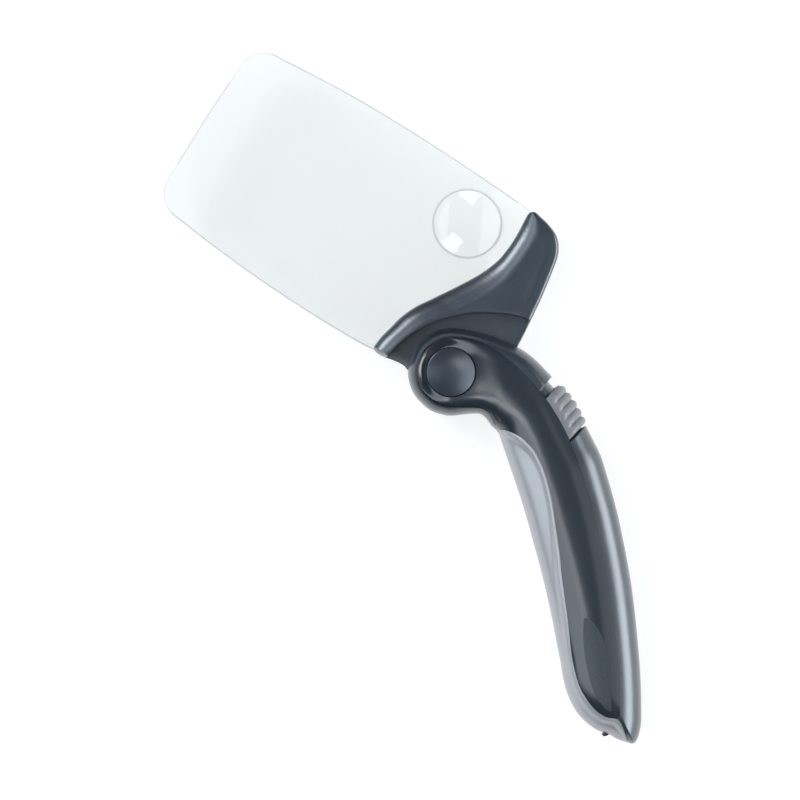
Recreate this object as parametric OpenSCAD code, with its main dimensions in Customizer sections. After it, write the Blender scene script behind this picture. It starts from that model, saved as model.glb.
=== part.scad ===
// Low vision magnifier: hand-held reading lens on a swinging head,
// with a lit head, a slide switch and a lift-off battery cover.
// Millimetres. +Z up. Origin on the pivot axis at the back rest face.
// +X along the long edge of the lens (away from it), +Y up the page,
// +Z towards the reader.

/* [Overall] */
// height of the middle plane above the rest face
mid_z = 12; // [12:0.5:12]
// outer radius of the round hub
hub_r = 13; // [12:0.25:13.5]

/* [Lens] */
// length of the lens with its hidden tang
lens_end_x = -102.8; // [-106:0.2:-96]
// height of the lens centre line above the pivot
lens_mid_y = 23.5; // [22:0.25:25]
// half width of the lens at its far end
lens_half_w = 30; // [28:0.25:31]
// corner radius of the lens
lens_corner_r = 9; // [6:0.5:12]
// thickness of the lens at its corners
lens_edge_t = 2; // [1.6:0.1:2.4]
// radius of curvature of each lens face
lens_face_r = 700; // [600:10:900]
// radius of the small round inset lens
inset_r = 10.5; // [8:0.25:11]
// how far the inset stands out of the lens
inset_rise = 1.2; // [0.6:0.1:1.6]

/* [Head] */
// half thickness of the wing
wing_half_t = 8; // [7:0.25:8.5]
// half thickness of the recessed pivot tongue
tongue_half_t = 4.5; // [4:0.1:4.6]
// radius of the tongue's round end
tongue_r = 12.4; // [11:0.1:12.5]

/* [Pivot] */
// outer radius of the pivot sleeve
sleeve_r = 4.5; // [4:0.1:5]
// radial clearance between the sleeve and the hub bores
sleeve_gap = 0.05; // [0.01:0.01:0.1]
// radius of the round pivot caps
cap_r = 7.5; // [7:0.1:8]
// radius of the glossy ring round the caps
dish_r = 10.4; // [10:0.1:10.8]

/* [Grip] */
// wall thickness of the grip at its sides
wall_t = 1.6; // [1.4:0.1:1.8]
// thickness of the glossy inlays
inlay_t = 1.8; // [1.4:0.1:2]
// gap between parts that move against each other
run_gap = 0.3; // [0.25:0.05:0.4]

/* [Switch] */
// travel of the switch knob
knob_travel = 2.4; // [1.5:0.1:2.5]
// number of ribs on the knob
knob_ribs = 5; // [3:1:6]

/* [Battery] */
// diameter of one cell
cell_d = 10.5; // [10:0.1:10.5]
// length of one cell without its button
cell_l = 43.7; // [43:0.1:44]

/* [Hidden] */
$fn = 64;
full_t = 2 * mid_z;
plate_in = mid_z + tongue_half_t + run_gap;   // inner face of the front hub plate
cover_dir = [-0.64, -0.77, 0];
cell_ang = -43.5;
cell_o = [58, -22];
knob_ang = -26.75;
knob_o = [34.8, 10.7];

// ---------- colours ----------
c_satin = [0.30, 0.33, 0.37];
c_gloss = [0.12, 0.14, 0.17];
c_silver = [0.66, 0.67, 0.69];
c_knob = [0.50, 0.50, 0.53];
c_metal = [0.75, 0.75, 0.77];

// ---------- small helpers ----------
function spow(v, p) = sign(v) * pow(abs(v), p);
module mirror_mid() { translate([0, 0, full_t]) mirror([0, 0, 1]) children(); }
module slab(z0, z1) { translate([0, 0, z0]) linear_extrude(z1 - z0) children(); }
module cyl(p, r, z0, z1) { translate([p[0], p[1], z0]) cylinder(r = r, h = z1 - z0); }
module in_cell() { translate([cell_o[0], cell_o[1], mid_z]) rotate([0, 0, cell_ang]) children(); }
module in_knob() { translate([knob_o[0], knob_o[1], 0]) rotate([0, 0, knob_ang]) children(); }

// ---------- grip: stations from the hub to the tip ----------
// each: point on the outer (spine) side, point on the inner side, half thickness, squareness
st = [
  [[-12.95, 1.3], [-12.95, -1.3], 9.6, 0.36],
  [[-12.5, 3.6], [-12.5, -3.6], 10.8, 0.36],
  [[-11.2, 6.6], [-11.2, -6.6], 11.7, 0.36],
  [[-8.8, 9.5], [-8.8, -9.5], 12, 0.36],
  [[-5.2, 12], [-5.2, -11.9], 12, 0.36],
  [[-0.6, 13.9], [-0.6, -13], 12, 0.38],
  [[4.2, 15.4], [4.6, -12.1], 12, 0.4],
  [[8.6, 16.5], [9.4, -9.2], 12, 0.43],
  [[13.3, 17.3], [14.5, -5.9], 12, 0.48],
  [[19.3, 16.9], [18.4, -6.8], 12, 0.56],
  [[26.3, 15.2], [22.2, -8.1], 12, 0.64],
  [[34.4, 12.7], [28.1, -12.7], 12, 0.72],
  [[44, 7.6], [34.2, -17.6], 12, 0.78],
  [[52.4, 2.2], [41, -23.3], 12, 0.82],
  [[59.5, -3.9], [47.5, -29.1], 12, 0.82],
  [[66.4, -10.2], [54, -35.1], 12, 0.82],
  [[72.8, -16.9], [60, -40.7], 12, 0.82],
  [[79, -23.6], [66, -46.8], 12, 0.82],
  [[84.8, -30.5], [71.4, -52.4], 12, 0.82],
  [[90.4, -37.6], [75.8, -57.2], 12, 0.82],
  [[95.9, -44.8], [79.7, -61.2], 12, 0.82],
  [[99.4, -49.8], [83, -63.8], 11.9, 0.8],
  [[102, -53.9], [86.6, -65.8], 11.6, 0.78],
  [[104.2, -57.4], [90.6, -66.8], 11, 0.76],
  [[105.6, -60.3], [95, -66.9], 9.8, 0.76],
  [[106.2, -62.6], [100, -66.2], 7.8, 0.76],
  [[106.1, -64.1], [103.8, -65.4], 5, 0.76]
];

// closed ring of one station, drawn in by w
function ring(s, w, n) =
  let (d = s[0] - s[1], l = norm(d), u = d / l, c = (s[0] + s[1]) / 2,
       hw = max(0.2, l / 2 - w), e = s[3], top = pow(sin(90 - 180 / n), e * 0.86))
  [for (k = [0 : n - 1]) let (a = 360 * (k + 0.5) / n)
    [c[0] + u[0] * hw * spow(cos(a), e), c[1] + u[1] * hw * spow(cos(a), e),
     mid_z + (s[2] - w) * spow(sin(a), e * 0.86) / top]];

// skin through a list of rings
module skin(rings) {
  n = len(rings[0]);
  m = len(rings);
  polyhedron(
    points = [for (r = rings) for (p = r) p],
    faces = concat(
      [for (j = [0 : m - 2]) for (k = [0 : n - 1]) [j * n + k, (j + 1) * n + (k + 1) % n, j * n + (k + 1) % n]],
      [for (j = [0 : m - 2]) for (k = [0 : n - 1]) [j * n + k, (j + 1) * n + k, (j + 1) * n + (k + 1) % n]],
      [[for (k = [0 : n - 1]) k]],
      [[for (k = [0 : n - 1]) m * n - 1 - k]]), convexity = 6);
}
module grip_skin() { skin([for (s = st) ring(s, 0, 20)]); }

module handle_solid() { grip_skin(); }

// ---------- outlines in plan ----------
gloss_r = [[2.5, 12.4], [9.4, 12.8], [15.2, 12.1], [21.4, 10.7], [25.8, 9.4], [30.6, 7.5],
  [35.7, 5], [41.6, 1.3], [48.1, -3.2], [54, -8.2], [60, -13.8], [66.1, -20.4], [72, -26.3],
  [77.5, -32.7], [82.9, -38.9], [88.5, -46], [93.8, -53.3], [96.4, -57.1], [97.6, -58.8], [97.6, -60.4]];
gloss_l = [[96, -61.7], [92.8, -62.3], [89.5, -61.7], [86.3, -60.5], [82.6, -58.4], [78.9, -55],
  [73.2, -48.6], [67.5, -41.6], [61.6, -34.6], [56, -27.5], [50.2, -20.6], [45.2, -14.9],
  [40.7, -10.6], [36.2, -7.5], [32, -5.7], [28, -5.2], [24.6, -5.5], [20.6, -7]];
panel_pts = concat(gloss_r, gloss_l, [[15.5, -4.6], [11, -6.2], [6, -8.6], [0, -9], [0, 10]]);
cover_pts = concat([[104.2, -65.5], [102.6, -63.7], [100.8, -62], [99.2, -61.2], [97.6, -60.4]],
  gloss_l, [[19.4, -9.6], [30, -24], [70, -66], [98, -76], [106, -70]]);
module panel_2d() { polygon(panel_pts); }
module cover_2d() { polygon(cover_pts); }

// first and last station of the hollow
h0 = 10;
h1 = 19;
// plan of the hollow, drawn in by a on the spine side and b on the inner side
function inward(s, w) = s[0] + (s[1] - s[0]) / norm(s[1] - s[0]) * w;
function outward(s, w) = s[1] + (s[0] - s[1]) / norm(s[0] - s[1]) * w;
module hollow_2d(a, b, ka) {
  polygon(concat([for (j = [h0 : h1]) inward(st[j], j < h0 + 3 ? ka : a)],
    [for (j = [h1 : -1 : h0]) outward(st[j], b)]));
}
screw_pts = [[21.5, 0.5], [39, 0.8], [91.5, -53.5]];
module hollow() {
  difference() {
    union() {
      slab(mid_z - 6, mid_z + 6) hollow_2d(wall_t, wall_t - 0.2, 4);
      slab(mid_z - 8.6, mid_z + 8.6) hollow_2d(5, 5, 8);
    }
    cyl(screw_pts[1], 2.2, 0, full_t);
  }
}

// clearance for the swinging tongue, between the two hub plates
module tongue_slot() {
  slab(mid_z - tongue_half_t - run_gap, plate_in)
    polygon([[-40, -40], [21.2, -14], [18.5, -9], [16.6, -7.7], [14.4, -6.2], [13.2, -4.6], [12.9, 0.2],
      [15.2, 2.4], [20, 6.7], [21.3, 9.4], [22.8, 12.2], [24.8, 16.2], [30, 40], [-40, 40]]);
}

// seat for the switch knob: everything outside a straight core
module knob_core_2d(w) {
  // section across the spine, in [across, z]
  polygon([[-12, mid_z - 10.6 + w], [-4.9, mid_z - 9.4 + w], [-3.2 - w / 2, mid_z - 8 + w],
    [-1.6 - w * 0.8, mid_z - 5 + w / 2], [-1 - w, mid_z - 2], [-1 - w, mid_z + 2],
    [-1.6 - w * 0.8, mid_z + 5 - w / 2], [-3.2 - w / 2, mid_z + 8 - w], [-4.9, mid_z + 9.4 - w],
    [-12, mid_z + 10.6 - w]]);
}
module along_spine(x0, x1) {
  in_knob() translate([x0, 0, 0]) rotate([90, 0, 90]) linear_extrude(x1 - x0) children();
}
module knob_seat() {
  difference() {
    slab(-1, full_t + 1) translate([knob_o[0], knob_o[1]]) rotate(knob_ang)
      polygon([[-9.7, 6], [-9.7, 0.2], [-8.2, -4.7], [9.3, -4.7], [8.9, -0.6], [7.6, 6]]);
    along_spine(-16, 16) knob_core_2d(0);
  }
  // slot for the stem
  in_knob() translate([-4.2, -4.6, mid_z - 1.3]) cube([6.6, 6, 2.6]);
}

// everything cut from both handle halves
module handle_cuts() {
  hollow();
  tongue_slot();
  knob_seat();
  slab(-1, full_t + 1) cover_2d();
  // pivot bores
  cyl([0, 0], sleeve_r + sleeve_gap, 2.4, full_t - 2.4);
  // seats for the inlays and caps
  slab(full_t - inlay_t, full_t + 1) panel_2d();
  slab(-1, inlay_t) panel_2d();
  cyl([0, 0], dish_r, full_t - 3.7, full_t + 1);
  cyl([0, 0], dish_r, -1, 2.4);
  // lead channel from the hollow to the pivot
  slab(2.8, 5) polygon([[0, -1.6], [30, -4.6], [30, 1], [0, 1.6]]);
}
module handle_shell_front() {
  color(c_satin) difference() {
    intersection() { handle_solid(); slab(mid_z, full_t + 1) square(400, center = true); }
    handle_cuts();
    for (p = screw_pts) cyl(p, 1.02, mid_z - 1, mid_z + 6);
  }
}
module handle_shell_back() {
  color(c_satin) difference() {
    intersection() { handle_solid(); slab(-1, mid_z) square(400, center = true); }
    handle_cuts();
    for (p = screw_pts) { cyl(p, 1.3, 1, mid_z + 1); cyl(p, 2.4, 1, 3.8); }
    // seat of the friction washer
    cyl([0, 0], 10.1, mid_z - tongue_half_t - run_gap - 0.6, mid_z - 2);
  }
}

// glossy inlay: strip plus dished ring
module inlay(floor_t) {
  difference() {
    intersection() { handle_solid(); slab(full_t - inlay_t, full_t + 1) panel_2d(); }
    cyl([0, 0], dish_r - 0.7, full_t - 6, full_t + 1);
  }
  rotate_extrude() polygon([[cap_r + 0.1, full_t - floor_t], [dish_r, full_t - floor_t],
    [dish_r, full_t - 0.2], [dish_r - 0.5, full_t - 0.35], [9.2, full_t - 1.1], [8.3, full_t - 1.5],
    [cap_r + 0.1, full_t - 1.6]]);
}
module side_panel_front() { color(c_gloss) inlay(3.7); }
module side_panel_back() { color(c_gloss) mirror_mid() inlay(2.4); }

module pivot_cap_front() {
  color(c_satin) {
    rotate_extrude() polygon([[0, full_t - 3.7], [cap_r, full_t - 3.7], [cap_r, full_t - 0.9],
      [cap_r - 0.5, full_t - 0.5], [6, full_t - 1.1], [4, full_t - 1.6], [2, full_t - 1.9], [0, full_t - 2]]);
    cyl([0, 0], 2.6, full_t - 4.6, full_t - 3.6);
  }
}
module pivot_cap_back() {
  color(c_satin) rotate_extrude() polygon([[0, 0], [cap_r - 0.3, 0], [cap_r, 0.3], [cap_r, 2.4], [0, 2.4]]);
}
module friction_washer() {
  color(c_metal) difference() {
    cyl([0, 0], 10, mid_z - tongue_half_t - run_gap - 0.6, mid_z - tongue_half_t - run_gap);
    cyl([0, 0], 5, 0, mid_z);
  }
}

// ---------- cells and their tray ----------
module battery_tray() {
  color([0.18, 0.18, 0.2]) in_cell() {
    difference() {
      union() {
        translate([-26.2, -9.2, -5.8]) cube([52.4, 18.4, 1.8]);
        translate([-22.2, -6.6, -7.6]) cube([48.4, 13.2, 2.4]);
      }
      for (s = [-1, 1]) translate([-24.6, s * 5.35, 0]) rotate([0, 90, 0]) cylinder(r = cell_d / 2 + 0.15, h = 49.2);
      translate([-24.6, -10, -4.6]) cube([49.2, 20, 4]);
    }
    for (x = [-26.2, 25.2]) translate([x, -9.2, -4.2]) cube([1, 18.4, 8.4]);
  }
}
module cell(s) {
  in_cell() translate([0, s * 5.35, 0]) {
    translate([-22.25, 0, 0]) rotate([0, 90, 0]) cylinder(r = cell_d / 2, h = cell_l);
    translate([s > 0 ? cell_l - 22.3 : -23.05, 0, 0]) rotate([0, 90, 0]) cylinder(r = 1.9, h = 0.85);
  }
}
module battery_cell_a() { color([0.2, 0.36, 0.3]) cell(1); }
module battery_cell_b() { color([0.2, 0.36, 0.3]) cell(-1); }
// bent leaf at the minus end of each cell
module leaf() {
  rotate([90, 0, 0]) translate([0, 0, -3]) linear_extrude(6)
    polygon([[0, -4], [0.35, -4], [0.35, -1.6], [1.9, -0.4], [1.9, 0.4], [0.35, 3.4], [0, 3.4],
      [0, 3.2], [1.5, 0.3], [1.5, -0.3], [0, -1.5]]);
}
module contact_springs() {
  color(c_metal) in_cell() {
    translate([-25.1, 5.35, 0]) leaf();
    translate([25.1, -5.35, 0]) mirror([1, 0, 0]) leaf();
  }
}
module contact_plates() {
  color(c_metal) in_cell() {
    translate([24.75, 2.6, -3.8]) cube([0.35, 5.6, 7.6]);
    translate([-25.1, -8.2, -3.8]) cube([0.35, 5.6, 7.6]);
  }
}

// ---------- switch ----------
module switch_board() {
  color([0.1, 0.35, 0.2]) in_knob() difference() {
    translate([-6.4, -9.2, mid_z - 5.4]) cube([11.6, 1.2, 10.8]);
    for (z = [mid_z - 4, mid_z + 4]) translate([-5, -10, z]) rotate([-90, 0, 0]) cylinder(r = 0.5, h = 3);
  }
}
module slide_switch() {
  color([0.6, 0.6, 0.62]) in_knob() difference() {
    translate([-5.4, -8, mid_z - 2.6]) cube([9.2, 3.9, 5.2]);
    translate([-4.5, -6.2, mid_z - 1.4]) cube([7.2, 4, 2.8]);
  }
}
module resistor() {
  color([0.55, 0.4, 0.25]) in_knob() {
    translate([0.8, -10.15, mid_z - 1.7]) cylinder(r = 0.9, h = 3.4);
    translate([0.8, -10.15, mid_z - 3]) cylinder(r = 0.3, h = 6);
  }
}
module knob_outer_2d() {
  polygon([[-4.4, mid_z - 10.6], [-3.1, mid_z - 10.2], [-1.4, mid_z - 9], [0.2, mid_z - 7], [1.2, mid_z - 4.4],
    [1.6, mid_z - 1.6], [1.6, mid_z + 1.6], [1.2, mid_z + 4.4], [0.2, mid_z + 7], [-1.4, mid_z + 9],
    [-3.1, mid_z + 10.2], [-4.4, mid_z + 10.6]]);
}
module switch_knob() {
  color(c_knob) {
    difference() {
      intersection() {
        along_spine(-9, 10) knob_outer_2d();
        slab(0, full_t) translate([knob_o[0], knob_o[1]]) rotate(knob_ang)
          polygon([[-6.9, 4], [-6.8, 0.6], [-5.4, -4.4], [8.6, -4.4], [8.2, -0.6], [7.1, 4]]);
      }
      along_spine(-12, 12) knob_core_2d(-run_gap);
      for (k = [0 : knob_ribs - 2])
        in_knob() translate([-3.4 + k * 9.4 / (knob_ribs - 2), 1.1, mid_z - 8])
          rotate([0, 0, 45]) cube([1.2, 1.2, 16]);
    }
    in_knob() translate([-1.4, -5.7, mid_z - 0.9]) cube([1.8, 5.2, 1.8]);
  }
}

// ---------- battery cover ----------
module battery_cover() {
  color(c_silver) difference() {
    intersection() {
      handle_solid();
      slab(-1, full_t + 1) translate([-0.32, -0.385]) difference() {
        cover_2d();
        polygon([[96.2, -67.2], [97.4, -65.2], [100.8, -65.1], [104.4, -64.3], [108, -64], [108, -72], [96, -72]]);
        polygon([[15, -2], [21.7, -5.4], [21.5, -12], [15, -14]]);
      }
    }
    hollow();
    slab(mid_z - 6.4, mid_z + 6.4) polygon([[79, -55], [89, -61.5], [88, -64.6], [84, -62.6], [76, -56]]);
  }
}
module cover_latch() {
  color([0.16, 0.17, 0.2]) slab(mid_z - 4, mid_z + 4)
    polygon([[97.2, -65.7], [100.4, -65.55], [103.1, -64.95], [103, -65.4], [100.9, -66], [98.3, -66.1],
      [97.9, -66.9], [97.2, -67.5], [96.4, -67.2], [96.9, -66.5]]);
}

// ---------- screws and leads ----------
module shell_screws() {
  color(c_metal) for (p = screw_pts) {
    cyl(p, 1, 2.6, mid_z + 5);
    difference() { cyl(p, 2.2, 2.2, 3.7); cyl(p, 0.9, 2, 3); }
  }
}
module lead(p, r) {
  for (k = [0 : len(p) - 2]) {
    d = p[k + 1] - p[k];
    l = norm(d);
    rk = k % 2 == 0 ? r : r * 0.94;
    translate(p[k] - d / l * 0.25) rotate([0, acos(d[2] / l), atan2(d[1], d[0])]) cylinder(r = rk, h = l + 0.5, $fn = 8);
  }
}
module wire_red_handle() {
  color([0.7, 0.1, 0.1]) lead([[0.8, 0.5, 3.6], [14, 0, 3.8], [21.4, -1.45, 4.45], [27.5, -2.0, 4.6], [30.3, 1.75, 8], [29.05, 2.65, 9.8]], 0.45);
}
module wire_black_handle() {
  color([0.08, 0.08, 0.08]) lead([[0.8, -0.6, 3.6], [14, -1.7, 3.8], [27.8, -3.5, 4.6], [33, -1.6, 7], [34.15, 0.05, 9.2]], 0.45);
}

// ---------- head ----------
lens_edge = [[-23.6, -6], [-23.3, -1.8], [-22.3, 2.4], [-20.9, 7.4], [-18.7, 12.2], [-15.9, 16.6],
  [-12.6, 22], [-10, 26.5], [-8, 30.5], [-6.4, 35], [-5.7, 39.4], [-5.5, 44], [-5.8, 49.4], [-5.9, 52.6], [-5.2, 53.7]];
crease = [[-20.2, -5.4], [-19.5, -1.6], [-18.6, 2], [-17.1, 6.3], [-14.8, 10.8], [-11.8, 15],
  [-8.2, 20.2], [-5.6, 24.5], [-3.8, 28.5], [-2.5, 33], [-1.9, 38], [-1.7, 43], [-2.1, 48], [-3.3, 51.2], [-3.9, 52.6]];
outer_edge = [[-3.6, 54], [-0.4, 53.4], [2.2, 52.7], [4.5, 51.5], [6.2, 50.1], [7.6, 48.2], [8.7, 45.4],
  [9.4, 41.6], [10.5, 36], [11.2, 31.4], [11.7, 27.8], [11.9, 25.8]];
outer_top = [[-3.3, 52.8], [-0.6, 52.3], [1.7, 51.6], [3.8, 50.5], [5.3, 49.2], [6.5, 47.6], [7.5, 45],
  [8.2, 41.3], [9.3, 35.8], [10, 31.2], [10.5, 27.6], [10.7, 25.8]];
arc_edge = [[10.2, 25.5], [8.5, 25.4], [5.7, 24.2], [3, 22.8], [0.4, 21.4], [-2.2, 19.8], [-4.6, 18],
  [-6.9, 16], [-9, 13.8], [-11.1, 11.5], [-13, 8.9], [-14.7, 6], [-16.3, 2.9], [-17.3, 0], [-18, -3.1], [-18.6, -6.2], [-20.2, -6.8], [-22.6, -6.8]];
arc_top = concat([for (k = [0 : len(arc_edge) - 4]) arc_edge[k]], [[-18.8, -5.9], [-19.4, -6.1], [-20, -6]]);
// flat plan of the tongue, hidden end round the pivot
tongue_pts = concat([[-17, -6.3], [-14.2, -5.9], [-12.4, -6], [-11.2, -6.9]],
  [for (a = [215 : 10 : 385]) [tongue_r * cos(a), tongue_r * sin(a)]],
  [[11.2, 7.2], [12.6, 15.9], [12.5, 19], [12.2, 22.6], [11.8, 26.6], [4, 30], [-10, 20], [-19, 2], [-18.6, -6.6]]);

function rev(v) = [for (k = [len(v) - 1 : -1 : 0]) v[k]];
module wing_top() {
  zs = [mid_z, mid_z + 3.2, mid_z + wing_half_t - 0.5, mid_z + wing_half_t];
  low = concat(lens_edge, outer_edge, arc_edge);
  high = concat(crease, outer_top, arc_top);
  n = len(lens_edge);
  skin([rev([for (p = low) [p[0], p[1], zs[0] - 0.8]]), rev([for (p = low) [p[0], p[1], zs[1]]]),
    rev([for (k = [0 : len(low) - 1]) let (p = k < n ? lens_edge[k] * 0.1 + crease[k] * 0.9 : low[k])
      [p[0], p[1], zs[2] - (k < n ? 0.2 : 0.9)]]),
    rev([for (p = high) [p[0], p[1], zs[3]]])]);
}
// lens outline: long sides bow a little, far end bows too, near end follows the crease
lens_pts = concat(
  [for (k = [0 : 14]) if (k < 14) crease[k] * 0.97 + lens_edge[k] * 0.03 + [0.3, 0]],
  [[-6, 53.6], [-24, 54.3], [-45, 54.7], [-66, 54.2], [-84, 52.8]],
  [for (a = [85 : -10 : 5]) [-94.1 + 8.6 * cos(180 - a), 43.6 + 8.6 * sin(a)]],
  [[-102.8, 32], [-103, 22], [-102.8, 12]],
  [for (a = [-5 : -10 : -85]) [-94.1 - 8.6 * cos(a), 2.6 + 8.6 * sin(a)]],
  [[-84, -6.7], [-66, -7.4], [-45, -7.6], [-32, -7.4], [-24, -7]]);
lens_c = [-52.8, 23.5];
function sag(r) = (r * r) / (2 * lens_face_r);
module dome(r, base, rise0) {
  // low dome of revolution: height at the axis is rise0, falls with the face radius
  rotate_extrude($fn = 96) polygon(concat([[0, base]],
    [for (k = [10 : -1 : 0]) [r * k / 10, rise0 - sag(r * k / 10)]]));
}
module lens() {
  color([0.85, 0.92, 0.92, 0.45]) {
    top = lens_edge_t / 2 + sag(59);
    intersection() {
      slab(0, full_t) polygon(lens_pts);
      translate([lens_c[0], lens_c[1], mid_z]) {
        dome(66, -0.5, top);
        mirror([0, 0, 1]) dome(66, -0.5, top);
      }
    }
    translate([-19.8, 40.2, mid_z]) rotate_extrude() polygon([[0, 1], [inset_r, 1], [inset_r, 2.3],
      [inset_r - 0.4, 2.7], [8, 3.1], [5, 3.55], [2.5, 3.75], [0, 3.8]]);
  }
}
head_screw_pts = [[4.4, 46.6], [6.4, 29.9]];
lamp_o = [3.4, 38.2, mid_z + 0.6];
module head_cuts() {
  // lens seat
  slab(mid_z - 2.65, mid_z + 2.65) polygon(concat(
    [for (k = [0 : 14]) crease[k] + [0.45, 0]], [[-8, 60], [-40, 60], [-40, -12], [-22, -12]]));
  // hollow for the lamp and its leads
  slab(mid_z - 6, mid_z + 6) polygon([[0.6, 48], [2.2, 49.4], [2.6, 44.4], [6.6, 43.8], [7.6, 40], [8.6, 33.4],
    [4.2, 32], [3.6, 28.4], [0.6, 26.2], [-2.6, 25.6], [-0.9, 31], [-0.5, 37], [-0.3, 44]]);
  slab(mid_z - 1.2, mid_z + 1.2) polygon([[-1.6, 0], [1.6, 0], [2.6, 28], [-0.8, 28]]);
  // pivot bore
  cyl([0, 0], sleeve_r, 0, full_t);
}
module head_shell_front() {
  color(c_satin) difference() {
    union() {
      wing_top();
      slab(mid_z - 0.5, mid_z + tongue_half_t) polygon(tongue_pts);
    }
    slab(mid_z - 2, mid_z) square(400, center = true);
    head_cuts();
    for (p = head_screw_pts) cyl(p, 1.02, mid_z - 1, mid_z + 5.5);
  }
}
module head_shell_back() {
  color(c_satin) difference() {
    union() {
      mirror_mid() wing_top();
      slab(mid_z - tongue_half_t, mid_z + 0.5) polygon(tongue_pts);
    }
    slab(mid_z, mid_z + 2) square(400, center = true);
    head_cuts();
    for (p = head_screw_pts) { cyl(p, 1.3, 0, mid_z + 1); cyl(p, 2.4, 0, 5.8); }
    // window opening
    slab(0, mid_z - 5.2) translate([3.4, 38.2]) circle(r = 3.9);
  }
}
module pivot_sleeve() {
  color(c_metal) difference() {
    cyl([0, 0], sleeve_r, 4.4, full_t - 4.4);
    cyl([0, 0], 3.2, 0, full_t);
    translate([0, 0, mid_z]) rotate([-90, 0, 0]) cylinder(r = 1.3, h = 10);
  }
}
module in_lamp() { translate(lamp_o) rotate([0, 205, 0]) children(); }
module led() {
  color([0.95, 0.95, 0.9]) in_lamp() {
    translate([0, 0, -1.6]) cylinder(r = 2.5, h = 3.2);
    translate([0, 0, 1.6]) sphere(r = 2.5);
    translate([0, 0, -2.4]) cylinder(r = 2.8, h = 0.9);
    for (x = [-1.27, 1.27]) translate([x - 0.25, -0.25, -3.6]) cube([0.5, 0.5, 1.4]);
  }
}
module led_holder() {
  color([0.14, 0.14, 0.15]) in_lamp() difference() {
    cylinder(r = 3.2, h = 1.8);
    translate([0, 0, -1]) cylinder(r = 2.5, h = 4);
  }
}
module light_window() {
  color([0.9, 0.95, 0.95, 0.5]) translate([3.4, 38.2, 0]) rotate_extrude()
    polygon([[0, 4.1], [3.5, 4.1], [3.9, 4.5], [3.9, 5.6], [0, 5.6]]);
}
module head_screws() {
  color(c_metal) for (p = head_screw_pts) {
    cyl(p, 1, 4.6, mid_z + 4.5);
    difference() { cyl(p, 2.2, 4.3, 5.7); cyl(p, 0.9, 4, 5); }
  }
}
module wire_red_head() {
  color([0.7, 0.1, 0.1]) lead([[0.7, 0.4, 4.6], [0.75, 0.6, 11.4], [0.8, 8, 12], [1.3, 26.6, 12.1], [2.2, 34.3, 14.4]], 0.45);
}
module wire_black_head() {
  color([0.08, 0.08, 0.08]) lead([[-0.7, 0.4, 4.6], [-0.7, 0.5, 11.6], [-0.6, 8, 12], [0.2, 27, 12], [1.4, 33, 15]], 0.45);
}

handle_shell_front();
handle_shell_back();
side_panel_front();
side_panel_back();
pivot_cap_front();
pivot_cap_back();
friction_washer();
battery_tray();
battery_cell_a();
battery_cell_b();
contact_springs();
contact_plates();
switch_board();
slide_switch();
resistor();
wire_red_handle();
wire_black_handle();
shell_screws();
switch_knob();
battery_cover();
cover_latch();
lens();
head_shell_front();
head_shell_back();
pivot_sleeve();
led();
led_holder();
light_window();
head_screws();
wire_red_head();
wire_black_head();
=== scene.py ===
import bpy, bmesh, math
import numpy as np
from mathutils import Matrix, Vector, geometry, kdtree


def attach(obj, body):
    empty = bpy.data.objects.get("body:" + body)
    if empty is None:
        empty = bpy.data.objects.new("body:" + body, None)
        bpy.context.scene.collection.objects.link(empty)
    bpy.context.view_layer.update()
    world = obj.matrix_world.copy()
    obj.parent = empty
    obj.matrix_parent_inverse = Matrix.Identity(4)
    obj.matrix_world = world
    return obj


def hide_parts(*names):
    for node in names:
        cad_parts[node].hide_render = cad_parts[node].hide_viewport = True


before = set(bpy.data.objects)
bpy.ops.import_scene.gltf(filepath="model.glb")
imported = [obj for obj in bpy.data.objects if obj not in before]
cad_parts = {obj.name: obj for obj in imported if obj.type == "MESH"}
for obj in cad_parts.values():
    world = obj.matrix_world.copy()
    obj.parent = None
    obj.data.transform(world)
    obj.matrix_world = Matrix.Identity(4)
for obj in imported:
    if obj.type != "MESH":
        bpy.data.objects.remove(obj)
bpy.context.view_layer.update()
MM = 0.001
MID = 12.0


# ------------------------------------------------------------------ curves
def dense(pts, sub=8):
    """Smooth curve through control points, sub samples for each span, uniform Catmull-Rom."""
    P = np.array(pts, float)
    P = np.vstack([2 * P[0] - P[1], P, 2 * P[-1] - P[-2]])
    out = []
    for i in range(1, len(P) - 2):
        p0, p1, p2, p3 = P[i - 1], P[i], P[i + 1], P[i + 2]
        for k in range(sub):
            t = k / sub
            out.append(0.5 * ((2 * p1) + (-p0 + p2) * t + (2 * p0 - 5 * p1 + 4 * p2 - p3) * t * t
                              + (-p0 + 3 * p1 - 3 * p2 + p3) * t ** 3))
    out.append(P[-2])
    return np.array(out)


def relax(P, n, keep=None):
    """Takes small waves out of a sampled curve; its ends stay."""
    P = P.copy()
    for i in range(n):
        for f in (0.5, -0.51):
            Q = P.copy()
            Q[1:-1] += f * 0.5 * (P[:-2] + P[2:] - 2 * P[1:-1])
            P = Q
    return P


def arclen(P):
    d = np.linalg.norm(np.diff(P, axis=0), axis=1)
    return np.concatenate([[0], np.cumsum(d)])


def resample(P, n):
    s = arclen(P)
    t = np.linspace(0, s[-1], n)
    return np.stack([np.interp(t, s, P[:, k]) for k in range(P.shape[1])], 1)


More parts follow.
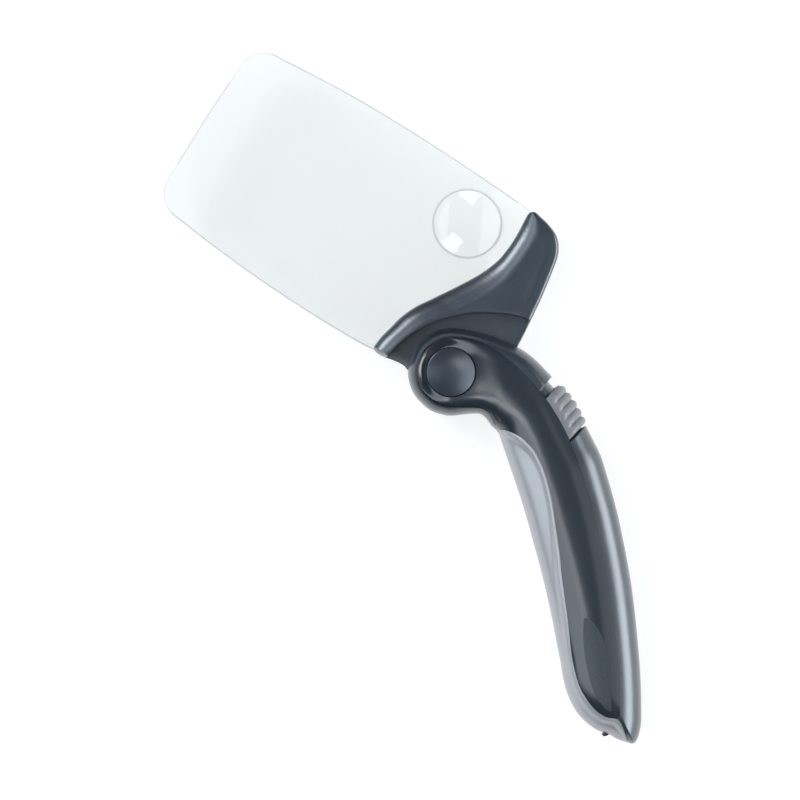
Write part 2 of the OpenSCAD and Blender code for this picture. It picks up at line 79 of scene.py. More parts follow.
# grip: pairs of (edge of the glossy inlay, silhouette), round the hub and down the spine to the tip
B = [((20.6, -6.9), (20.8, -7.3)), ((18.6, -5.5), (18.8, -6.95)), ((16.2, -4.2), (16.4, -6.05)),
     ((13.6, -4.3), (14.1, -6.0)), ((11.2, -5.5), (11.8, -7.4)), ((9.0, -6.9), (9.5, -9.2)),
     ((6.9, -8.1), (7.4, -10.9)), ((3.8, -9.75), (4.7, -12.2)), ((0, -10.4), (0, -13.05)),
     ((-5.2, -9.0), (-6.5, -11.26)), ((-9.0, -5.2), (-11.26, -6.5)), ((-10.4, 0), (-13, 0)),
     ((-9.9, 3.3), (-12.4, 4.1)), ((-8.3, 6.3), (-10.6, 7.8)), ((-5.7, 8.8), (-7.7, 10.8)),
     ((-3.1, 10.4), (-4.6, 12.6)), ((-0.3, 11.6), (-1.0, 14.1)), ((2.8, 12.35), (2.6, 15.3)),
     ((6.2, 12.75), (6.2, 16.2)), ((9.8, 12.7), (10.1, 16.85)), ((13.4, 12.4), (14.0, 17.3)),
     ((17.2, 11.8), (18.0, 17.1)), ((21.0, 10.85), (22.1, 16.35)), ((24.6, 9.75), (26.3, 15.2)),
     ((28.2, 8.5), (30.4, 14.0)), ((31.9, 6.9), (34.3, 12.5)), ((35.7, 5.0), (38.4, 10.6)),
     ((39.3, 2.9), (42.2, 8.55)), ((43.2, 0.2), (46.4, 6.1)), ((48.0, -3.3), (51.3, 3.1)),
     ((52.6, -7.1), (56.0, -0.8)), ((57.2, -11.2), (60.7, -4.95)), ((61.6, -15.5), (65.3, -9.2)),
     ((66.1, -20.2), (70.0, -14.0)), ((70.6, -25.0), (74.4, -18.6)), ((74.9, -29.7), (78.7, -23.3)),
     ((79.2, -34.6), (82.9, -28.2)), ((83.3, -39.5), (87.1, -33.4)), ((87.1, -44.3), (91.0, -38.4)),
     ((90.6, -49.0), (94.9, -43.5)), ((93.8, -53.4), (98.6, -48.7)), ((96.2, -57.0), (102.0, -53.8)),
     ((97.5, -58.9), (104.6, -58.0)), ((97.7, -60.4), (105.9, -61.2)), ((99.4, -61.3), (106.3, -63.1)),
     ((101.0, -62.2), (106.1, -64.3)), ((102.6, -63.6), (105.4, -64.9)), ((103.7, -64.7), (104.4, -65.15))]
# silver cover: pairs of (edge at the inlay, silhouette), neck to tip
C = [((20.7, -7.05), (20.9, -7.4)), ((21.9, -6.45), (22.3, -7.95)), ((24.2, -5.65), (23.9, -9.3)),
     ((27.0, -5.2), (25.8, -10.8)), ((30.4, -5.45), (28.3, -12.85)), ((33.9, -6.3), (31.2, -15.15)),
     ((37.2, -8.1), (34.1, -17.5)), ((40.6, -10.6), (37.2, -20.0)), ((43.9, -13.6), (40.4, -22.7)),
     ((47.1, -16.9), (43.6, -25.5)), ((50.2, -20.6), (46.8, -28.4)), ((53.4, -24.4), (50.0, -31.3)),
     ((56.7, -28.5), (53.3, -34.3)), ((60.2, -33.0), (56.8, -37.6)), ((63.9, -37.4), (60.5, -41.2)),
     ((67.5, -41.6), (64.3, -45.0)), ((70.9, -45.7), (67.8, -48.7)), ((74.0, -49.6), (71.1, -52.2)),
     ((76.8, -52.9), (74.2, -55.4)), ((79.5, -55.6), (77.0, -58.6)), ((82.3, -58.1), (80.0, -61.5)),
     ((85.2, -60.0), (83.2, -63.9)), ((88.3, -61.3), (86.6, -65.7)), ((91.5, -62.1), (90.2, -66.7)),
     ((94.6, -62.0), (93.8, -67.0)), ((97.2, -60.9), (96.6, -66.6)), ((98.6, -60.95), (98.8, -66.1)),
     ((99.9, -61.6), (100.9, -66.05)), ((101.4, -62.7), (102.6, -65.7)), ((102.9, -64.0), (103.8, -65.35)),
     ((103.8, -64.85), (104.35, -65.2))]
SUB = 8
Bi = relax(dense([p[0] for p in B], SUB), 14)
Bo = relax(dense([p[1] for p in B], SUB), 14)
Ci = relax(dense([p[0] for p in C], SUB), 14)
Co = relax(dense([p[1] for p in C], SUB), 14)
SIL = resample(np.vstack([Bo, Co[::-1], Bo[:1]]), 4000)[:-1]
_seg_a, _seg_b = SIL, np.roll(SIL, -1, axis=0)
_kd = kdtree.KDTree(len(SIL))
for _i, _p in enumerate(SIL):
    _kd.insert((_p[0], _p[1], 0), _i)
_kd.balance()


def depth_in(P):
    """Distance from the silhouette of the grip, in mm, for points inside it."""
    P = np.asarray(P, float).reshape(-1, 2)
    idx = np.array([_kd.find((p[0], p[1], 0))[1] for p in P])
    best = np.full(len(P), 1e9)
    for sh in (-1, 0):
        a, b = SIL[(idx + sh) % len(SIL)], SIL[(idx + sh + 1) % len(SIL)]
        ab = b - a
        t = np.clip(((P - a) * ab).sum(1) / np.maximum((ab * ab).sum(1), 1e-12), 0, 1)
        best = np.minimum(best, np.linalg.norm(P - a - ab * t[:, None], axis=1))
    return best


def sstep(x, a, b):
    t = np.clip((np.asarray(x, float) - a) / (b - a), 0, 1)
    return t * t * (3 - 2 * t)


def rise(P, d=None):
    """Height of the grip's skin above its middle plane, in mm."""
    P = np.asarray(P, float).reshape(-1, 2)
    d = depth_in(P) if d is None else np.asarray(d, float)
    wide = 4.5 + 6.5 * sstep(P[:, 0] - 0.35 * P[:, 1], 10, 38)
    x = np.clip(d / wide, 0, 1)
    return 12.0 * (1 - (1 - x) ** 2.4) ** (1 / 2.8)


# ------------------------------------------------------------------ mesh building
def to_obj(name, verts, faces, mat, body, smooth=35, bevel=0.0, sub=0):
    me = bpy.data.meshes.new(name)
    me.from_pydata([tuple(v * MM) for v in np.asarray(verts, float)], [], faces)
    bm = bmesh.new()
    bm.from_mesh(me)
    bmesh.ops.remove_doubles(bm, verts=bm.verts, dist=2e-6)
    bmesh.ops.dissolve_degenerate(bm, edges=bm.edges, dist=1e-6)
    bmesh.ops.recalc_face_normals(bm, faces=bm.faces)
    bm.to_mesh(me)
    bm.free()
    for p in me.polygons:
        p.use_smooth = True
    me.set_sharp_from_angle(angle=math.radians(smooth))
    ob = bpy.data.objects.new(name, me)
    bpy.context.scene.collection.objects.link(ob)
    if mat is not None:
        me.materials.append(mat)
    if bevel:
        m = ob.modifiers.new("soft_edges", "BEVEL")
        m.width = bevel * MM
        m.segments = 2
        m.limit_method = "ANGLE"
        m.angle_limit = math.radians(smooth)
        m.use_clamp_overlap = False
        m.harden_normals = True
    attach(ob, body)
    return ob


class Mesh:
    def __init__(self):
        self.v, self.f = [], []

    def add(self, pts):
        k = len(self.v)
        self.v.extend([np.array(p, float) for p in pts])
        return list(range(k, k + len(pts)))

    def grid(self, rows, closed=False):
        """rows: list of equally long point lists; quads between neighbours."""
        ids = [self.add(r) for r in rows]
        n = len(ids[0])
        for a, b in zip(ids[:-1], ids[1:]):
            for k in range(n if closed else n - 1):
                q = (a[k], a[(k + 1) % n], b[(k + 1) % n], b[k])
                self.f.append(q)
        return ids

    def fan(self, loop, centre):
        c = self.add([centre])[0]
        ids = self.add(loop)
        for k in range(len(ids)):
            self.f.append((ids[k], ids[(k + 1) % len(ids)], c))

    def mirrored(self):
        m = Mesh()
        m.v = [np.array([p[0], p[1], 2 * MID - p[2]]) for p in self.v]
        m.f = [tuple(reversed(f)) for f in self.f]
        return m


def cdt(loop, zfun, step=1.5, holes=(), extra=(), pad=0.6):
    """Triangulated region inside a closed plan loop, with an even grid of inner points. zfun(P) gives z."""
    loop = np.asarray(loop, float)
    pts = [Vector(p) for p in loop]
    edges = [(k, (k + 1) % len(loop)) for k in range(len(loop))]
    for h in holes:
        k0 = len(pts)
        pts += [Vector(p) for p in h]
        edges += [(k0 + k, k0 + (k + 1) % len(h)) for k in range(len(h))]
    for e in extra:
        pts += [Vector(p) for p in e]
    allb = np.array([tuple(p) for p in pts])
    lo, hi = loop.min(0), loop.max(0)
    gx = np.arange(lo[0] + step / 2, hi[0], step)
    gy = np.arange(lo[1] + step / 2, hi[1], step * 0.866)
    G = np.array([(x + (0.5 * step if j % 2 else 0), y) for j, y in enumerate(gy) for x in gx])
    if len(G):
        inside = in_poly(G, loop)
        for h in holes:
            inside &= ~in_poly(G, np.asarray(h, float))
        G = G[inside]
    if len(G):
        dist = np.full(len(G), 1e9)
        for k in range(0, len(allb), 200):
            dist = np.minimum(dist, np.linalg.norm(G[:, None] - allb[None, k:k + 200], axis=2).min(1))
        G = G[dist > step * pad]
    pts += [Vector(p) for p in G]
    v, _e, f, _a, _b, _c = geometry.delaunay_2d_cdt(pts, edges, [], 0, 1e-6)
    V = np.array([tuple(p) for p in v])
    keep = []
    hl = [np.asarray(h, float) for h in holes]
    cen = np.array([V[list(t)].mean(0) for t in f])
    ok = in_poly(cen, loop)
    for h in hl:
        ok &= ~in_poly(cen, h)
    keep = [tuple(t) for t, o in zip(f, ok) if o]
    Z = zfun(V)
    return np.column_stack([V, Z]), keep


def in_poly(P, loop):
    x, y = P[:, 0], P[:, 1]
    hit = np.zeros(len(P), bool)
    a, b = loop, np.roll(loop, -1, axis=0)
    for (x1, y1), (x2, y2) in zip(a, b):
        if y1 == y2:
            continue
        c = ((y1 > y) != (y2 > y)) & (x < (x2 - x1) * (y - y1) / (y2 - y1) + x1)
        hit ^= c
    return hit


def loop_dist(P, curve):
    """Distance to an open plan curve."""
    P = np.asarray(P, float)
    c = resample(np.asarray(curve, float), 400)
    out = np.full(len(P), 1e9)
    for k in range(0, len(c), 100):
        out = np.minimum(out, np.linalg.norm(P[:, None] - c[None, k:k + 100], axis=2).min(1))
    return out


# ------------------------------------------------------------------ materials
def mat(name, base, rough=0.4, metal=0.0, coat=0.0, coat_rough=0.05, grain=0.0, grain_scale=900.0,
        rough_var=0.05, tone=0.06, spec=0.5, mott=60.0, fleck=0.0):
    m = bpy.data.materials.new(name)
    m.use_nodes = True
    nt = m.node_tree
    nt.nodes.clear()
    out = nt.nodes.new("ShaderNodeOutputMaterial")
    p = nt.nodes.new("ShaderNodeBsdfPrincipled")
    nt.links.new(p.outputs[0], out.inputs[0])
    tc = nt.nodes.new("ShaderNodeTexCoord")
    big = nt.nodes.new("ShaderNodeTexNoise")
    big.inputs["Scale"].default_value = mott
    big.inputs["Detail"].default_value = 4
    nt.links.new(tc.outputs["Object"], big.inputs["Vector"])
    fine = nt.nodes.new("ShaderNodeTexNoise")
    fine.inputs["Scale"].default_value = grain_scale
    fine.inputs["Detail"].default_value = 2
    nt.links.new(tc.outputs["Object"], fine.inputs["Vector"])
    ramp = nt.nodes.new("ShaderNodeMix")
    ramp.data_type = "RGBA"
    lo = [c * (1 - tone) for c in base] + [1]
    hi = [min(1, c * (1 + tone)) for c in base] + [1]
    ramp.inputs[6].default_value = lo
    ramp.inputs[7].default_value = hi
    nt.links.new(big.outputs["Fac"], ramp.inputs[0])
    last = ramp.outputs[2]
    if fleck:
        mx = nt.nodes.new("ShaderNodeMix")
        mx.data_type = "RGBA"
        mr0 = nt.nodes.new("ShaderNodeMapRange")
        mr0.inputs["From Min"].default_value = 0.52
        mr0.inputs["From Max"].default_value = 0.75
        mr0.inputs["To Max"].default_value = fleck
        nt.links.new(fine.outputs["Fac"], mr0.inputs["Value"])
        nt.links.new(mr0.outputs[0], mx.inputs[0])
        nt.links.new(last, mx.inputs[6])
        mx.inputs[7].default_value = [min(1, c * 2.4 + 0.03) for c in base] + [1]
        last = mx.outputs[2]
    nt.links.new(last, p.inputs["Base Color"])
    mr = nt.nodes.new("ShaderNodeMapRange")
    mr.inputs["To Min"].default_value = max(0.02, rough - rough_var)
    mr.inputs["To Max"].default_value = rough + rough_var
    nt.links.new(big.outputs["Fac"], mr.inputs["Value"])
    nt.links.new(mr.outputs[0], p.inputs["Roughness"])
    p.inputs["Metallic"].default_value = metal
    p.inputs["Specular IOR Level"].default_value = spec
    p.inputs["Coat Weight"].default_value = coat
    p.inputs["Coat Roughness"].default_value = coat_rough
    if grain:
        b = nt.nodes.new("ShaderNodeBump")
        b.inputs["Strength"].default_value = grain
        b.inputs["Distance"].default_value = 0.00006
        nt.links.new(fine.outputs["Fac"], b.inputs["Height"])
        nt.links.new(b.outputs[0], p.inputs["Normal"])
    return m


def clear_mat(name, tint, ior=1.45, rough=0.0):
    m = mat(name, tint, rough=max(rough, 0.02), rough_var=0.01, tone=0.01, mott=40)
    p = next(n for n in m.node_tree.nodes if n.type == "BSDF_PRINCIPLED")
    p.inputs["Transmission Weight"].default_value = 1.0
    p.inputs["IOR"].default_value = ior
    return m


M_SATIN = mat("satin_gunmetal", (0.033, 0.045, 0.061), rough=0.30, metal=0.3, grain=0.35, grain_scale=2600, fleck=0.12, tone=0.06, spec=1.0, coat=0.35, coat_rough=0.3)
M_GLOSS = mat("gloss_dark", (0.020, 0.028, 0.038), rough=0.26, rough_var=0.03, coat=0.8, coat_rough=0.17, tone=0.12)
M_PATCH = mat("patch_dark", (0.035, 0.045, 0.056), rough=0.42, grain=0.8, grain_scale=3200, tone=0.1, fleck=0.3)
M_SILVER = mat("satin_silver", (0.42, 0.425, 0.45), rough=0.38, metal=0.35, grain=0.3, grain_scale=2400, tone=0.04)
M_KNOB = mat("knob_grey", (0.18, 0.182, 0.2), rough=0.42, grain=0.4, grain_scale=1800, tone=0.05)
M_DARK = mat("dark_plastic", (0.03, 0.033, 0.038), rough=0.5, grain=0.3, tone=0.1)
M_STEEL = mat("bare_steel", (0.55, 0.55, 0.57), rough=0.3, metal=1.0, grain=0.3, tone=0.05)
M_LENS = clear_mat("lens_clear", (0.905, 0.930, 0.930))
# Lens edge material: grey, rough and only partly clear. It is a painted dark outline standing in for the shade that
# refraction gives at the lens edges and round the inset.
M_RIM_PAINTED_SHADE = clear_mat("lens_rim_painted_shade", (0.50, 0.52, 0.54), rough=0.3)
next(n for n in M_RIM_PAINTED_SHADE.node_tree.nodes if n.type == "BSDF_PRINCIPLED").inputs["Transmission Weight"].default_value = 0.75
M_WINDOW = clear_mat("window_clear", (0.96, 0.98, 1.0), rough=0.08)
M_LAMP = clear_mat("lamp_clear", (0.95, 0.96, 0.93), rough=0.05)
M_CELL = mat("cell_wrap", (0.04, 0.13, 0.10), rough=0.25, rough_var=0.06, coat=0.5, tone=0.15)
M_BOARD = mat("board_green", (0.015, 0.12, 0.06), rough=0.35, coat=0.4, tone=0.15)
M_RES = mat("resistor_tan", (0.42, 0.29, 0.16), rough=0.4, tone=0.15)
M_RED = mat("wire_red", (0.5, 0.02, 0.02), rough=0.4, tone=0.1)
M_BLACK = mat("wire_black", (0.02, 0.02, 0.02), rough=0.4, tone=0.1)
CAD_MATS = {"friction_washer": M_STEEL, "battery_tray": M_DARK, "battery_cell_a": M_CELL, "battery_cell_b": M_CELL,
            "contact_springs": M_STEEL, "contact_plates": M_STEEL, "switch_board": M_BOARD, "slide_switch": M_STEEL,
            "resistor": M_RES, "wire_red_handle": M_RED, "wire_black_handle": M_BLACK, "shell_screws": M_STEEL,
            "pivot_sleeve": M_STEEL, "led": M_LAMP, "led_holder": M_DARK, "light_window": M_WINDOW,
            "head_screws": M_STEEL, "wire_red_head": M_RED, "wire_black_head": M_BLACK}
for n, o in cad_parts.items():
    o.data.materials.clear()
    o.data.materials.append(CAD_MATS.get(n, M_SATIN))


# ------------------------------------------------------------------ grip: spine band of each shell
KO = np.array([34.8, 10.7])
KA = math.radians(-26.75)
KX = np.array([math.cos(KA), math.sin(KA)])
KY = np.array([-math.sin(KA), math.cos(KA)])


def knob_local(P):
    q = np.asarray(P, float) - KO
    return np.stack([q @ KX, q @ KY], -1)


def seat_share(P, soft=0.12):
    """1 inside the seat of the switch knob, 0 outside."""
    L = knob_local(P)
    left = -8.9 - 0.32 * (L[:, 1] - (-2))
    right = 9.1 - 0.25 * (L[:, 1] + 2.5)
    return sstep(L[:, 0], left - soft, left + soft) * (1 - sstep(L[:, 0], right - soft, right + soft)) * (L[:, 1] > -12)


def fine_t(n, marks, near=0.25, count=5):
    """Sample positions 0..n with extra ones close to each mark."""
    t = list(np.linspace(0, n, int(n * 1.0) + 1))
    for m in marks:
        t += list(np.linspace(m - near, m + near, count))
    return np.array(sorted(set(np.round([x for x in t if 0 <= x <= n], 4))))


def at(P, t):
    k = np.arange(len(P))
    return np.stack([np.interp(t, k, P[:, 0]), np.interp(t, k, P[:, 1])], 1)


def find_t(P, fun):
    """Curve positions where fun changes sign."""
    v = fun(P)
    return [k + v[k] / (v[k] - v[k + 1]) for k in range(len(P) - 1) if v[k] * v[k + 1] < 0]


seat_marks = find_t((Bi + Bo) / 2, lambda P: knob_local(P)[:, 0] - (-8.9)) + find_t((Bi + Bo) / 2, lambda P: knob_local(P)[:, 0] - 9.1)
slot_top = find_t(Bo, lambda P: P[:, 0] - 24.9 + 1000 * (P[:, 1] < 8))
slot_low = [t for t in find_t(Bo, lambda P: P[:, 0] - 16.6) if t < 60]
T = fine_t(len(Bi) - 1, [m + d for m in seat_marks for d in (-1.5, -1, -0.5, 0, 0.5, 1, 1.5)], near=0.25, count=5)
T = fine_t(len(Bi) - 1, list(seat_marks), near=3.0, count=60)
T = np.array(sorted(set(list(T) + [x + e for x in slot_top + slot_low for e in (-0.03, 0.03)])))
bi, bo = at(Bi, T), at(Bo, T)
in_slot = np.zeros(len(T), bool)
lowT = slot_low[0] if slot_low else 16.0
topT = slot_top[-1] if slot_top else 180.0
in_slot = (T > lowT) & (T < topT)


def spine_rows():
    """Front band rows from the inlay's edge to the parting line."""
    rows = []
    n = 30
    g_all = (1 - np.linspace(0, 1, n)) ** 3
    zend = np.where(in_slot, MID + 4.8, MID + 0.06)
    # per column: plan positions for each g, then clip at the height zend
    pos = np.zeros((n, len(T), 2))
    zz = np.zeros((n, len(T)))
    for j, g in enumerate(g_all):
        P = bo + (bi - bo) * g
        pos[j] = P
        zz[j] = MID + rise(P)
    seat = seat_share(pos.reshape(-1, 2)).reshape(n, len(T))
    inward = bi - bo
    inward = inward / np.linalg.norm(inward, axis=1)[:, None]
    push = 1.9 * (1 - g_all)[:, None] * seat
    pos = pos + inward[None] * push[:, :, None]
    zz = zz - seat * (zz - MID) * 0.14
    out = np.zeros((n, len(T), 3))
    for c in range(len(T)):
        z = zz[:, c]
        top, end = z[0], zend[c]
        # samples again along the column so that the last row ends at zend
        s = np.concatenate([[0], np.cumsum(np.hypot(np.diff(z), np.linalg.norm(np.diff(pos[:, c], axis=0), axis=1)))])
        k = np.searchsorted(-z, -end)
        if k >= n:
            se = s[-1]
        else:
            f = (z[k - 1] - end) / max(z[k - 1] - z[k], 1e-9)
            se = s[k - 1] + f * (s[k] - s[k - 1])
        u = np.linspace(0, se, n)
        out[:, c, 0] = np.interp(u, s, pos[:, c, 0])
        out[:, c, 1] = np.interp(u, s, pos[:, c, 1])
        out[:, c, 2] = np.interp(u, s, z)
    return out


def spine_shell():
    m = Mesh()
    R = spine_rows()
    n = R.shape[0]
    # skirt at the inlay's edge
    d = (bi - bo) / np.linalg.norm(bi - bo, axis=1)[:, None]
    top = R[0].copy()
    sk = []
    for off, dz in ((0.10, -2.6), (0.10, -0.25), (0.06, -0.07)):
        q = top.copy()
        q[:, :2] += d * off
        q[:, 2] += dz
        sk.append(q)
    # turned-in edge at the parting line, or the inner face of the hub plate
    last = R[-1].copy()
    inn = []
    for off, dz in ((0.05, -0.04), (0.2, -0.05)):
        q = last.copy()
        q[:, :2] += d * off
        q[:, 2] += dz
        inn.append(q)
    deep = last.copy()
    deep[:, :2] += d * np.where(in_slot, 3.0, 1.2)[:, None]
    deep[:, 2] -= 0.05
    w = np.linalg.norm(bi - bo, axis=1)
    deep[:, :2] = last[:, :2] + d * np.minimum(np.where(in_slot, 3.0, 1.2), w * 0.9)[:, None]
    inn.append(deep)
    m.grid(sk + [R[k] for k in range(n)] + inn)
    return m


shell = spine_shell()
# inner face of the hub plate, and the block between the plates behind the tongue slot
ang = np.linspace(0, 2 * math.pi, 97)
plate_out = bo[in_slot] + (bi - bo)[in_slot] / np.linalg.norm((bi - bo)[in_slot], axis=1)[:, None] * 0.6
plate_loop = list(plate_out)
pv, pf = cdt(np.array(plate_loop + [(22.6, 10.8), (21.6, 8.8), (20.2, 6.4), (15.6, 2.2), (13.2, 0.1), (13.4, -4.3)]),
             lambda P: np.full(len(P), MID + 4.78), step=3.0)
k0 = len(shell.v)
shell.v.extend(list(pv))
shell.f.extend([tuple(k0 + i for i in t) for t in pf])
core = np.array([(25.2, 15.4), (23.3, 12.0), (21.9, 9.2), (20.5, 6.6), (15.6, 2.2), (13.1, 0.1), (13.5, -4.5), (14.6, -5.6), (16.7, -6.0)])
core = resample(core, 40)
shell.grid([[(p[0], p[1], MID + 4.8) for p in core], [(p[0], p[1], MID + 0.02) for p in core]])

front = to_obj("grip_shell_front", shell.v, shell.f, M_SATIN, "handle", smooth=40)
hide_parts("handle_shell_front")
sb = shell.mirrored()
back = to_obj("grip_shell_back", sb.v, sb.f, M_SATIN, "handle", smooth=40)
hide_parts("handle_shell_back")


# ------------------------------------------------------------------ glossy inlays
CAP = 7.55


def inlay_z(P, crown=0.0):
    P = np.asarray(P, float).reshape(-1, 2)
    z = np.zeros(len(P))
    offs = [(0, 0)] + [(2.0 * math.cos(a), 2.0 * math.sin(a)) for a in np.arange(0, 6.2, math.pi / 3)]
    d0 = depth_in(P)
    f = np.clip((d0 - 0.5) / 2.2, 0, 1)
    for o in offs:
        Q = P + np.array(o) * f[:, None]
        dq = depth_in(Q)
        z += rise(Q, dq) + crown * (1 - ((12.5 - np.clip(dq, 5.5, 12.5)) / 7.0) ** 2)
    z /= len(offs)
    r = np.hypot(P[:, 0], P[:, 1])
    th = np.arctan2(P[:, 1], P[:, 0])
    away = (1 + np.cos(th - math.radians(2))) / 2
    rim = 10.2 + 6.6 * away ** 1.6
    t = np.clip((r - CAP) / (rim - CAP), 0, 1)
    w = sstep(away, 0.05, 0.75)
    groove = (2.4 - 1.7 * w) * ((1 - w) * (1 - t ** 1.5) + w * (1 - t * t * (3 - 2 * t)))
    return MID + z - groove


i_seam_top = int(np.argmin(np.abs(Bi[:, 0] - 15.3) + 100 * (Bi[:, 1] < 8)))
i_seam_low = int(np.argmin(np.abs(Bi[:, 0] - 16.2) + 100 * (Bi[:, 1] > 0)))
NL = 49


def inlay_mesh(crown):
    m = Mesh()
    ring_b = Bi[i_seam_low:i_seam_top + 1]
    ring_b = resample(ring_b, 200)
    seam = np.array([Bi[i_seam_low] + (Bi[i_seam_top] - Bi[i_seam_low]) * k / (NL - 1) for k in range(NL)])
    outer = np.vstack([seam[::-1][:-1], ring_b[:-1]])   # from the top of the seam down, then round the hub
    outer = np.vstack([ring_b[:-1], seam[::-1][:-1]])
    a = np.arctan2(outer[:, 1], outer[:, 0])
    inner = np.stack([CAP * np.cos(a), CAP * np.sin(a)], 1)
    rows = []
    rr = np.linspace(0, 1, 26) ** 1.1
    for t in rr:
        P = inner + (outer - inner) * t
        rows.append(np.column_stack([P, inlay_z(P, crown)]))
    low = rows[0].copy()
    low[:, 2] -= 1.2
    m.grid([low] + rows, closed=True)
    # strip to the tip
    right = np.vstack([Bi[i_seam_top:]])
    k_tip = int(np.argmin(np.linalg.norm(right - np.array([97.7, -60.4]), axis=1)))
    right = right[:k_tip + 1]
    left = np.vstack([Bi[:i_seam_low + 1][::-1], Ci])
    kk = int(np.argmin(np.linalg.norm(left - np.array([97.6, -60.6]), axis=1)))
    left = left[:kk + 1]
    n = 260
    R_, L_ = resample(right, n), resample(left, n)
    rows = []
    for k in range(n):
        P = L_[k] + (R_[k] - L_[k]) * np.linspace(0, 1, NL)[:, None]
        rows.append(P)
    allP = np.vstack(rows)
    Z = inlay_z(allP, crown)
    rows = [np.column_stack([P, Z[i * NL:(i + 1) * NL]]) for i, P in enumerate(rows)]
    m.grid(rows)
    return m


def add_rim(ob, down, width=0.14):
    """Turns the open outer edge of a thin piece down by that many mm, and rounds the rim."""
    me = ob.data
    bm = bmesh.new()
    bm.from_mesh(me)
    edges = [e for e in bm.edges if e.is_boundary]
    far = [e for e in edges if (e.verts[0].co.xy.length > 0.0079)]
    r = bmesh.ops.extrude_edge_only(bm, edges=far)
    vs = [g for g in r["geom"] if isinstance(g, bmesh.types.BMVert)]
    for v in vs:
        v.co.z += down * MM
    bmesh.ops.bevel(bm, geom=far, offset=width * MM, offset_type="OFFSET", segments=3, profile=0.6, affect="EDGES", clamp_overlap=True)
    bmesh.ops.recalc_face_normals(bm, faces=bm.faces)
    bm.to_mesh(me)
    bm.free()
    for p in me.polygons:
        p.use_smooth = True
    me.set_sharp_from_angle(angle=math.radians(50))


im = inlay_mesh(0.5)
inlay_f = to_obj("inlay_front", im.v, im.f, M_GLOSS, "handle", smooth=60)
add_rim(inlay_f, -1.6)
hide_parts("side_panel_front")
imb = inlay_mesh(0.0).mirrored()
inlay_b = to_obj("inlay_back", imb.v, imb.f, M_GLOSS, "handle", smooth=60)
add_rim(inlay_b, 1.6)
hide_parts("side_panel_back")


# plain leaf-shaped patch with a fine texture on each inlay
LEAF = [(73.0, -40.3), (74.9, -40.1), (78.0, -41.0), (82.1, -43.6), (86.0, -47.5), (89.6, -52.2), (92.9, -57.0),
        (94.8, -59.7), (92.6, -59.9), (88.3, -58.3), (82.4, -53.4), (76.7, -46.7), (73.8, -42.1)]
leaf = resample(dense(LEAF + [LEAF[0]]), 160)[:-1]
for nm, sgn, crown in (("front", 1, 0.5), ("back", -1, 0.0)):
    V, F = cdt(leaf, lambda P: inlay_z(P, crown) + 0.05, step=0.9)
    W = V.copy()
    W[:, 2] = MID + sgn * (W[:, 2] - MID)
    ms = Mesh()
    ms.v, ms.f = list(W), list(F)
    rim = np.column_stack([leaf, MID + sgn * (inlay_z(leaf, crown) + 0.05 - MID)])
    low = rim.copy()
    low[:, 2] -= sgn * 0.2
    ms.grid([rim, low], closed=True)
    po = to_obj("texture_patch_" + nm, ms.v, ms.f, M_PATCH, "handle", smooth=40)


# ------------------------------------------------------------------ pivot caps
def revolve(profile, n=128):
    m = Mesh()
    rows = []
    for k in range(n):
        a = 2 * math.pi * k / n
        rows.append([(r * math.cos(a), r * math.sin(a), z) for r, z in profile])
    rows.append(rows[0])
    m.grid(rows)
    return m


prof = [(0.001, 22.25)] + [(r, 22.25 + 0.95 * (r / 6.9) ** 2.4) for r in np.linspace(0.5, 6.9, 24)]
prof += [(7.12, 23.27), (7.28, 23.2), (7.36, 23.05), (7.38, 22.8), (7.4, 20.4)]
c = revolve(prof)
cap = to_obj("pivot_disc_front", c.v, c.f, M_SATIN, "handle", smooth=40)
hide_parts("pivot_cap_front")
prof = [(0.001, 0.0)] + [(r, 0.0) for r in np.linspace(0.8, 7.0, 10)] + [(7.2, 0.06), (7.32, 0.2), (7.38, 0.4), (7.4, 2.6)]
c = revolve(prof)
cap = to_obj("pivot_disc_back", c.v, c.f, M_SATIN, "handle", smooth=40)
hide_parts("pivot_cap_back")


# ------------------------------------------------------------------ silver cover
def cover_mesh():
    m = Mesh()
    n = 34
    tt = np.linspace(0, len(Ci) - 1, 360)
    ci, co = at(Ci, tt), at(Co, tt)
    w = np.linalg.norm(ci - co, axis=1)
    rows = []
    g_all = 1 - np.linspace(0, 1, n)
    g_all = np.where(g_all > 0.35, g_all, 0.35 * (g_all / 0.35) ** 2.6)
    for g in g_all:
        P = co + (ci - co) * g
        z = rise(P)
        e = (1 - g) * w                       # distance from the inlay's edge
        amp = np.clip(w / 6.0, 0, 1)
        lip = 0.10 * sstep(e, 0.0, 0.5) * (1 - sstep(e, 0.9, 1.9))
        chan = -0.75 * sstep(e, 0.8, 2.6) * (1 - sstep(e / np.maximum(w, 1e-6), 0.35, 1.0))
        z = z + (lip + chan) * amp - 0.05
        rows.append(np.column_stack([P, MID + z]))
    back = [np.column_stack([r[:, :2], 2 * MID - r[:, 2]]) for r in rows[::-1]]
    rows[-1][:, 2] = MID
    rows = rows + back[1:]
    d = (co - ci) / w[:, None]
    def skirt(row, s):
        out = []
        for off, dz in ((0.12, -1.5), (0.12, -0.28), (0.07, -0.08)):
            q = row.copy()
            q[:, :2] += d * (off - 0.0)
            q[:, 2] += s * dz
            out.append(q)
        return out
    f = skirt(rows[0], 1)
    b = skirt(rows[-1], -1)[::-1]
    rows[0][:, :2] += d * 0.12 * 0.5
    rows[-1][:, :2] += d * 0.12 * 0.5
    m.grid(f + [r for r in rows] + b)
    return m


cm = cover_mesh()
cover = to_obj("grip_cover_silver", cm.v, cm.f, M_SILVER, "cover", smooth=45)
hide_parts("battery_cover")

